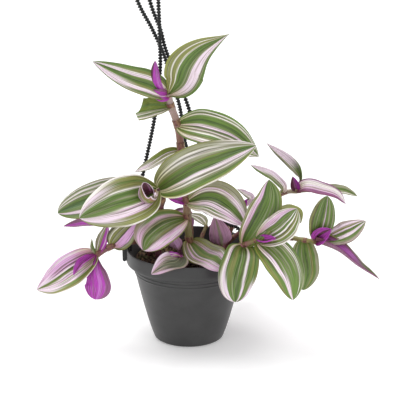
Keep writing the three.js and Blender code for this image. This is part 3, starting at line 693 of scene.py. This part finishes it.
def outline(s, widest, taper):
    """How wide a leaf is along its length, from 0 to 1, as a share of its full width."""
    rise = taper * widest / (1 - widest)
    peak = widest**rise * (1 - widest) ** taper
    return s**rise * (1 - s) ** taper / peak


def half_widths(spec, share):
    grown = outline(share * spec.get("cut", 1), spec.get("widest", WIDEST), spec.get("taper", TAPER))
    half = spec["width"] / 2 * grown * (1 + WOBBLE * np.sin(17 * share + spec["width"]))
    return np.maximum(half, np.maximum(BASE_HALF_WIDTH * (1 - share) ** 3, TIP_HALF_WIDTH))[:, None]


def relief(spec, half, s, t):
    """How far a blade's surface stands up by the waves of its edges, its pleats and its midrib's groove."""
    phase = spec["width"]
    swelling = np.sin(pi * s)
    wave = spec.get("wave", WAVE) * half * t * t * np.sin(9 * s + phase)
    ripple = RIPPLE * np.abs(t) ** 3 * np.sin(26 * s + 2 * phase) * swelling
    pleats = PLEATS * np.cos(9 * pi * t) * (1 - t * t) * swelling
    return wave + ripple + pleats - GROOVE * np.exp(-((t / 0.06) ** 2)) * swelling


def blade_sheet(spec, start, share, t):
    """The middle of a blade's thickness and the way that it faces, at each share along and t across."""
    line = [start, *spec["rib"]]
    centre, ahead = through(line, share), headings(line, share)
    face = np.array(spec["face"], float)
    up = unit(face - ahead * (ahead @ face)[:, None])
    side = np.cross(ahead, up)
    half = half_widths(spec, share)
    curl = np.radians(spec.get("curl", CURL) + CLASP * (1 - share) ** 4)[:, None]
    if "roll" in spec:
        radius = spec["roll"] * np.clip(0.3 + 1.4 * share, 0, 1)[:, None]
        curl = np.minimum(half / radius, pi)
        half = curl * radius
    fold = radians(spec.get("fold", FOLD))
    s = share[:, None]
    half = half * (1 + spec.get("lap", 0) * t)
    across = half * np.sin(curl * t) / curl * cos(fold)
    lift = half * (1 - np.cos(curl * t)) / curl + half * np.abs(t) * sin(fold)
    lift = lift + relief(spec, half, s, t)
    slope = np.sin(curl * t) + np.sign(t) * sin(fold)
    run = np.cos(curl * t) * cos(fold)
    normal = unit(up[:, None] * run[..., None] - side[:, None] * slope[..., None])
    middle = centre[:, None] + side[:, None] * across[..., None] + up[:, None] * lift[..., None]
    cut_back = spec.get("slant", 0) * s * s * np.sqrt(np.maximum(t, 0))
    return middle - ahead[:, None] * cut_back[..., None], normal


def rim_faces(rows, columns):
    """Quads around the edge that join the upper side of a grid to the lower side."""
    total = rows * columns
    rim = list(range(columns))
    rim += [row * columns + columns - 1 for row in range(1, rows)]
    rim += [(rows - 1) * columns + column for column in range(columns - 2, -1, -1)]
    rim += [row * columns for row in range(rows - 2, 0, -1)]
    return [(after, corner, corner + total, after + total) for corner, after in zip(rim, rim[1:] + rim[:1])]


def add_blade(builder, spec, start, upper, lower):
    """One leaf: a closed blade, thick at its midrib and thin at its edges."""
    rows, columns = SMALL_GRID if spec["width"] <= SMALL_WIDTH else LARGE_GRID
    share = np.linspace(0, 1, rows)
    share = 0.6 * share + 0.4 * (0.5 - 0.5 * np.cos(pi * share))
    t = np.linspace(-1, 1, columns)[None, :]
    middle, normal = blade_sheet(spec, start, share, t)
    s = share[:, None]
    thick = ((EDGE_THICK + RIB_THICK * (1 - t * t)) * (1 + 0.3 * (1 - s)))[..., None]
    above = (middle + normal * thick).reshape(-1, 3)
    below = (middle - normal * thick).reshape(-1, 3)
    places = np.stack(np.broadcast_arrays((t + 1) / 2, s), axis=-1).reshape(-1, 2)
    faces = grid_faces(rows, columns)
    points = np.vstack([above, below])
    base = builder.add(points, faces + rim_faces(rows, columns), upper, np.vstack([places, places]))
    builder.cover([face[::-1] for face in faces], lower, base + rows * columns)


def stem_line(shoot):
    """Where a stem leaves the soil, and its joints."""
    return [(*shoot["root"], SOIL_TOP + shoot["radius"]), *shoot["path"]]


def stem_size(shoot, near):
    """A stem's radius this far past its nearest joint: it swells there, with a fine groove after it."""
    swell = 0.17 * exp(-((near / 2.4) ** 2)) - 0.1 * exp(-(((near - 1.4) / 0.5) ** 2))
    return shoot["radius"] * (0.9 + swell) * shoot["girth"]


def add_stem(builder, shoot, paint):
    """A stem that swells at its joints, from its root in the soil to its rounded tip."""
    root, radius = shoot["root"], shoot["radius"]
    places, marks = evenly(stem_line(shoot), 1.2)
    joints = marks[[int(np.argmin(np.linalg.norm(places - np.array(p), axis=1))) for p in shoot["path"]]]
    low = [(*root, SOIL_TOP - ROOT_DEPTH + 0.5), (*root, SOIL_TOP - 2), (*root, SOIL_TOP + 0.5 * radius)]
    places = np.vstack([low, places[1:]])
    marks = np.concatenate([[0] * len(low), marks[1:]])
    first, second = carried_frames(places)
    around = [side / STEM_SIDES for side in range(STEM_SIDES)]
    rings, spots = [], []
    for index, (place, mark) in enumerate(zip(places, marks)):
        gaps = mark - joints
        near = gaps[np.argmin(np.abs(gaps))]
        size = radius * ROOT_SHARE if index < len(low) else stem_size(shoot, near)
        rings.append(ring_about(place, first[index], second[index], [size] * STEM_SIDES))
        share = int((PACKING - 1) * mark / max(marks[-1], 1)) / PACKING
        beyond = min(0.95, abs(near) / 10)
        spots += [(turn, share + (0.02 + beyond) / PACKING) for turn in around]
    for shrink, ahead in STEM_TIP:
        tip = places[-1] + ahead * radius * 0.6 * unit(places[-1] - places[-2])
        size = radius * 0.95 * shrink * shoot["girth"]
        rings.append(ring_about(tip, first[-1], second[-1], [size] * STEM_SIDES))
        spots += [(turn, 0.99) for turn in around]
    builder.add(*loft(rings), paint, [*spots, (0, 0.001), (0, 0.99)])


def add_sheath(builder, shoot, joint, paint, chance):
    """The thin sleeve by which a leaf's base wraps its stem, with hairs at its mouth."""
    line = stem_line(shoot)
    last = len(line) - 1
    centre = (joint + 1) / last
    start, end = centre - SHEATH_BELOW / last, min(1, centre + SHEATH_ABOVE / last)
    places = through(line, np.linspace(start, end, len(SHEATH_SIZES)))
    first, second = carried_frames(places)
    reach = shoot["radius"] * shoot["girth"]
    slants = 1 + 0.02 * np.sin(3 * angles_of(SHEATH_SIDES) + joint)
    rings = []
    for place, size, along, across in zip(places, SHEATH_SIZES, first, second):
        rings.append(ring_about(place, along, across, reach * size * slants))
    rings += [[places[index] + (point - places[index]) * SHEATH_INSIDE for point in rings[index]]
              for index in (len(places) - 1, len(places) // 2)]
    steps = [index / (len(places) - 1) for index in range(len(places))] + [1.0, 1.0]
    spots = [(side / SHEATH_SIDES, step) for step in steps for side in range(SHEATH_SIDES)]
    builder.add(*loft(rings), paint, [*spots, (0, 0), (0, 1)])
    heading = unit(places[-1] - places[-2])
    for _ in range(SHEATH_HAIRS):
        a = chance.uniform(0, 2 * pi)
        out = cos(a) * first[-1] + sin(a) * second[-1]
        add_hair(builder, paint, places[-1] + reach * 1.2 * out, out, heading, 1.2 + chance.random())


def add_hair(builder, paint, base, out, heading, length):
    tip = base + length * unit(heading + 0.5 * out)
    width = HAIR_RADIUS * np.cross(unit(tip - base), out)
    hair = [base + width, base - width, base + HAIR_RADIUS * out, tip]
    builder.add(hair, [(0, 1, 3), (1, 2, 3), (2, 0, 3), (0, 2, 1)], paint, [(0.3, 0.9)] * 4)


def build_shoot(shoot, seed, undersides, chance):
    """A stem with its sheaths and leaves. Leaves with the same underside share its paint."""
    builder = Builder("leafy_" + shoot["name"])
    add_stem(builder, shoot, stem_paint("paint_" + shoot["name"], shoot["stem"], seed))
    sheath = leaf_paint("sheath_" + shoot["name"], SHEATH_LOOK, None, 20, seed)
    for joint in range(len(shoot["path"])):
        add_sheath(builder, shoot, joint, sheath, chance)
    for index, spec in enumerate(shoot["leaves"]):
        bands = spec["bands"] or PLAIN_LOOKS[(index + seed) % len(PLAIN_LOOKS)]
        name, leaf_seed = f"{shoot['name']}_{index}", 7.3 * seed + index
        upper = leaf_paint(name, bands, spec["tip"], spec["width"], leaf_seed, spec.get("tone", 1.0))
        look = spec["under"]
        if look not in undersides:
            name = f"underside_{len(undersides)}"
            undersides[look] = leaf_paint(name, look, None, 22, 50.0, roughness=UNDER_ROUGHNESS)
        add_blade(builder, spec, shoot["path"][spec["at"]], upper, undersides[look])
    made = builder.finish()
    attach(made, "root")
    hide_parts(shoot["name"])


# ---------- pot and soil


def wall_radius(height):
    if height >= NECK:
        return NECK_RADIUS + (RIM_RADIUS - NECK_RADIUS) * (height - NECK) / BAND_HEIGHT
    return FOOT_RADIUS + (NECK_RADIUS - FOOT_RADIUS) * (height / NECK) ** ROUNDING


def ridged(height):
    ridges = sum(exp(-(((height - ridge) / RIDGE_SIZE) ** 2)) for ridge in RIDGE_HEIGHTS)
    return wall_radius(height) + RIDGE_SIZE * ridges


def pot_profile():
    """The pot's section: under the floor, up the wall, around the band, over the rim and down inside."""
    lip = RIM_RADIUS - GAP
    inner = RIM_RADIUS - WALL
    profile = [(0, 0), (FOOT_RADIUS - 4, 0), (FOOT_RADIUS - 1.6, 0.1), (FOOT_RADIUS - 0.4, 0.5)]
    profile += [(wall_radius(h), h) for h in (1.2, 2, 3, 4.5, 6)]
    profile += [(wall_radius(h), h) for h in range(9, 65, 3)]
    profile += [(ridged(h), h) for h in np.arange(65, NECK - 0.2, 0.3)]
    profile += [(wall_radius(h), h) for h in (NECK, NECK + 3, BAND_ROOT - 0.6)]
    profile += [(wall_radius(BAND_ROOT) + 0.3, BAND_ROOT), (lip - WALL, BAND_ROOT)]
    profile += [(lip - WALL, h) for h in (BAND_ROOT - 0.6, NECK + 3, NECK + 0.7)]
    profile += [(lip - WALL + 0.3, NECK + 0.2), (lip - 0.9, NECK), (lip - 0.3, NECK + 0.2)]
    profile += [(lip, h) for h in (NECK + 0.8, NECK + 4, NECK + 8, POT_HEIGHT - 1.2)]
    profile += [(lip - 0.15, POT_HEIGHT - 0.5), (lip - 0.6, POT_HEIGHT - 0.05)]
    profile += [(inner + 0.5, POT_HEIGHT), (inner, POT_HEIGHT - 0.4)]
    profile += [(wall_radius(h) - WALL, h) for h in (88, 84, 80, 76, 72, 60, 50, 38, 25, 13, 7, POT_FLOOR)]
    return profile + [(0, POT_FLOOR)]


def drain(pot, paint):
    """Cuts the drain holes through the pot's floor."""
    drills = Builder("drills")
    for angle in angles_of(DRAIN_HOLES):
        x, y = DRAIN_RING * cos(angle), DRAIN_RING * sin(angle)
        rings = [circle(DRAIN_RADIUS, height, DRILL_SIDES, x, y) for height in (-1, POT_FLOOR + 1)]
        drills.add(*loft(rings), paint, smooth=False)
    cutter = drills.finish()
    cut = pot.modifiers.new("drain", "BOOLEAN")
    cut.object = cutter
    cut.solver = "EXACT"
    graph = bpy.context.evaluated_depsgraph_get()
    drilled = bpy.data.meshes.new_from_object(pot.evaluated_get(graph))
    pot.modifiers.clear()
    pot.data = drilled
    bpy.data.objects.remove(cutter)


def build_pot():
    builder = Builder("hanging_pot")
    paint = plastic_paint("charcoal_plastic", CHARCOAL, 900)
    builder.add(*lathe(pot_profile(), POT_SIDES), paint)
    pot = builder.finish()
    drain(pot, paint)
    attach(pot, "root")
    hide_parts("pot")


def build_soil(chance):
    """Peat that fills the pot, with a lumpy surface and loose crumbs on it."""
    builder = Builder("peat_soil")
    paint = soil_paint()
    clear = WALL + 1.3 * GAP
    low = POT_FLOOR + GAP
    rim = wall_radius(SOIL_TOP - 2) - clear
    profile = [(0, low)] + [(wall_radius(h) - clear, h) for h in (low, 13, 25, 38, 50, 60, 72, 77)]
    profile += [(rim - 1, SOIL_TOP - 1.2)] + [(rim * k / 26, SOIL_TOP) for k in range(25, -1, -1)]
    points, faces = lathe(profile, SOIL_SIDES)
    lumpy = []
    for x, y, z in points:
        if z > SOIL_TOP - 2:
            lump = 0.8 * sin(x / 5 + 1.3 * sin(y / 7)) * cos(y / 6)
            z = min(z + (lump + chance.uniform(-0.6, 0.6)), SOIL_TOP + 1.4)
        lumpy.append((x, y, z))
    builder.add(lumpy, faces, paint)
    for _ in range(CRUMBS):
        angle = chance.uniform(0, 2 * pi)
        reach = (rim - 2) * sqrt(chance.random())
        add_crumb(builder, paint, chance, turned(reach, 0, SOIL_TOP + 0.5, angle))
    soil = builder.finish()
    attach(soil, "root")
    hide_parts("soil")


def add_crumb(builder, paint, chance, place):
    """A small angular lump of peat."""
    size = chance.uniform(0.5, 1.7)
    points = []
    for corner in [(1, 0, 0), (-1, 0, 0), (0, 1, 0), (0, -1, 0), (0, 0, 1), (0, 0, -1)]:
        stretch = size * chance.uniform(0.6, 1.3)
        jitter = [chance.uniform(-0.3, 0.3) * size for _ in range(3)]
        points.append([p + c * stretch + j for p, c, j in zip(place, corner, jitter)])
    faces = [(0, 2, 4), (2, 1, 4), (1, 3, 4), (3, 0, 4), (2, 0, 5), (1, 2, 5), (3, 1, 5), (0, 3, 5)]
    builder.add(points, faces, paint, smooth=False)


# ---------- hanger


def under_crown(place):
    return [middle + place * step for middle, step in zip(CROWN_CENTER, CROWN_STEP)]


def clip_section(inset):
    """The clip's outline over the rim in (radius, height), drawn in by inset for its bevel."""
    seat = POT_HEIGHT + GAP
    outside, inside = RIM_RADIUS - GAP, RIM_RADIUS - WALL - 7 * GAP
    shoulder = seat + CLIP_CAP - CLIP_INNER
    foot = seat - CLIP_LONG
    corners = np.array([
        (inside - CLIP_INNER, seat - CLIP_SHORT), (inside, seat - CLIP_SHORT), (inside, seat),
        (outside, seat), (outside, foot + 1), (outside + 1, foot), (outside + CLIP_OUTER - 1.4, foot),
        (outside + CLIP_OUTER - 0.3, foot + 1.2),
        (outside + CLIP_OUTER, shoulder), (outside + CLIP_OUTER / 3, seat + CLIP_CAP),
        (inside - CLIP_INNER / 3, seat + CLIP_CAP), (inside - CLIP_INNER, shoulder),
    ])
    before = unit(corners - np.roll(corners, 1, axis=0))
    after = unit(np.roll(corners, -1, axis=0) - corners)
    inward = np.stack([-(before + after)[:, 1], (before + after)[:, 0]], axis=1)
    return corners + inset * unit(inward)


def add_clip(builder, angle, paint):
    """The clip that grips the rim at this angle, with bevelled sides."""
    half = CLIP_WIDTH / 2
    points = []
    for offset, inset in ((-half, BEVEL), (-half + BEVEL, 0), (half - BEVEL, 0), (half, BEVEL)):
        section = clip_section(inset)
        points += [turned(radius, offset, height, radians(angle)) for radius, height in section]
    sides = len(section)
    faces = [face[::-1] for face in grid_faces(4, sides, closed=True)]
    faces.append(tuple(range(sides)))
    faces.append(tuple(range(4 * sides - 1, 3 * sides - 1, -1)))
    builder.add(points, faces, paint, smooth=False)


def build_strand(strand, paint):
    """A two-lobed twisted strand from its socket under the crown to its clip on the rim."""
    builder = Builder("twisted_" + strand["name"])
    top = under_crown(strand["place"])
    bend = CROWN_UNDERSIDE - HEAD_LENGTH
    end = turned(RIM_RADIUS - 1, 0, POT_HEIGHT + 3, radians(strand["clip"]))
    places, marks = evenly([(*top, bend), *strand["path"], end], 0.42)
    rings = []
    for place, mark, along, across in zip(places, marks, *carried_frames(places)):
        turns = angles_of(STRAND_SIDES) - 2 * pi * mark / STRAND_PITCH
        rings.append(ring_about(place, along, across, STRAND_RADIUS + STRAND_LOBE * np.cos(2 * turns)))
    builder.add(*loft(rings), paint)
    head = [circle(HEAD_RADIUS, height, HEAD_SIDES, *top) for height in (bend - 1, CROWN_UNDERSIDE - GAP)]
    builder.add(*loft(head), paint)
    add_clip(builder, strand["clip"], paint)
    made = builder.finish()
    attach(made, "root")
    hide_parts(strand["name"])


def add_bar(builder, paint):
    """The crown's bar, with round ends and eased edges."""
    half = hypot(*CROWN_STEP)
    turn = atan2(CROWN_STEP[1], CROWN_STEP[0])
    top = CROWN_UNDERSIDE + CROWN_THICKNESS
    rings = []
    for edge, rise in ((CROWN_UNDERSIDE, 1), (top, -1)):
        level = []
        for depth, inset in ((0, 0.6), (0.5, 0.1), (1, 0)):
            reach = CROWN_HALF_WIDTH - inset
            ring = []
            for angle in angles_of(BAR_SIDES):
                along = (half if cos(angle) >= 0 else -half) + reach * cos(angle)
                aside = reach * sin(angle)
                ring.append(turned(along, aside, edge + rise * depth, turn, *CROWN_CENTER))
            level.append(ring)
        rings += level[::rise]
    builder.add(*loft(rings), paint)


def add_hook(builder, paint):
    """The hook that the whole hangs from."""
    x, y = CROWN_CENTER
    low = CROWN_UNDERSIDE + 1
    neck = low + HOOK_RISE
    line = [(x, y, low), (x, y, low + 0.6 * HOOK_RISE), (x, y, neck)]
    for step in range(1, 7):
        angle = pi * step / 6
        line.append((x + HOOK_BEND * (1 - cos(angle)), y, neck + HOOK_BEND * sin(angle)))
    line.append((x + 2 * HOOK_BEND, y, neck - HOOK_TIP))
    places, _ = evenly(line, 1.2)
    rings = []
    for index, (place, along, across) in enumerate(zip(places, *carried_frames(places))):
        left = min(1, (len(places) - 1 - index) / 2)
        size = HOOK_RADIUS * (0.6 + 0.4 * sqrt(left * (2 - left)))
        rings.append(ring_about(place, along, across, [size] * HOOK_SIDES))
    builder.add(*loft(rings), paint)


def add_boss(builder, x, y, paint):
    """The round socket under the crown that holds a strand's top."""
    foot = CROWN_UNDERSIDE - BOSS_DEPTH
    root = CROWN_UNDERSIDE + 0.3
    section = [(BORE, CROWN_UNDERSIDE), (BORE, foot + 0.3), (BORE + 0.24, foot), (BOSS_RADIUS - 0.4, foot),
               (BOSS_RADIUS, foot + 0.4), (BOSS_RADIUS, root), (BORE, root)]
    angles = angles_of(BOSS_SIDES)
    points = [(x + r * cos(a), y + r * sin(a), h) for a in angles for r, h in section]
    faces = []
    for face in grid_faces(len(angles) + 1, len(section), closed=True):
        a, b, c, d = (corner % len(points) for corner in face)
        faces.append((d, c, b, a))
    builder.add(points, faces, paint)


def build_crown(paint):
    """The bar over the strands' tops, its sockets, and the hook."""
    builder = Builder("crown_and_hook")
    add_bar(builder, paint)
    add_hook(builder, paint)
    for strand in STRANDS:
        add_boss(builder, *under_crown(strand["place"]), paint)
    made = builder.finish()
    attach(made, "root")
    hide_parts("hanger_hook")


# ---------- studio


def build_floor():
    mesh = bpy.data.meshes.new("floor")
    corners = [(FLOOR_REACH * x, FLOOR_REACH * y, 0) for x, y in ((-1, -1), (1, -1), (1, 1), (-1, 1))]
    mesh.from_pydata(corners, [], [(0, 1, 2, 3)])
    floor = placed("floor", mesh)
    material, _, shader = painted("white_table", 0.9, 0.1)
    shader.inputs["Base Color"].default_value = (FLOOR_GREY, FLOOR_GREY, FLOOR_GREY, 1)
    shader.inputs["Emission Color"].default_value = (1, 1, 1, 1)
    shader.inputs["Emission Strength"].default_value = FLOOR_GLOW
    mesh.materials.append(material)


def build_light():
    """An even white surrounding with one large key lamp and a weak fill."""
    world = bpy.data.worlds.new("studio")
    bpy.context.scene.world = world
    world.use_nodes = True
    background = world.node_tree.nodes["Background"]
    background.inputs[0].default_value = (1, 1, 1, 1)
    background.inputs[1].default_value = SKY
    for name, place, watts in LAMPS:
        lamp = bpy.data.lights.new(name, "AREA")
        lamp.size = LAMP_SIZE
        lamp.energy = watts
        made = placed(name, lamp)
        made.location = place
        aim = np.array(LAMP_AIM) - np.array(place)
        flat = hypot(aim[0], aim[1])
        made.rotation_euler = (atan2(flat, -aim[2]), 0, atan2(aim[1], aim[0]) - pi / 2)


def build_camera():
    lens = bpy.data.cameras.new("camera")
    lens.lens = FOCAL_LENGTH
    lens.sensor_width = SENSOR
    made = placed("camera", lens)
    made.location = CAMERA_PLACE
    made.rotation_euler = (radians(CAMERA_PITCH), 0, 0)
    bpy.context.scene.camera = made


# ---------- the whole scene


def build_object():
    """Every piece, in an order that the seeded chance keeps."""
    chance = random.Random(SEED)
    undersides = {}
    for number, shoot in enumerate(SHOOTS):
        build_shoot(shoot, number, undersides, chance)
    build_pot()
    build_soil(chance)
    black = plastic_paint("black_plastic", BLACK, 1200)
    for strand in STRANDS:
        build_strand(strand, black)
    build_crown(black)


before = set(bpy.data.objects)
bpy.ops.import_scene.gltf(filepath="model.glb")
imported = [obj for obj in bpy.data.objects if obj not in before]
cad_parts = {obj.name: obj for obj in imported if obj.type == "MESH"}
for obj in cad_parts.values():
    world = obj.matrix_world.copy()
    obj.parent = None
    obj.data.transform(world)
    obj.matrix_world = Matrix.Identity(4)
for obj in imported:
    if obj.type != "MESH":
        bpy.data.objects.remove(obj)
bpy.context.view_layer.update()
build_object()
build_floor()
build_light()
build_camera()
bpy.context.scene.view_settings.view_transform = "Standard"
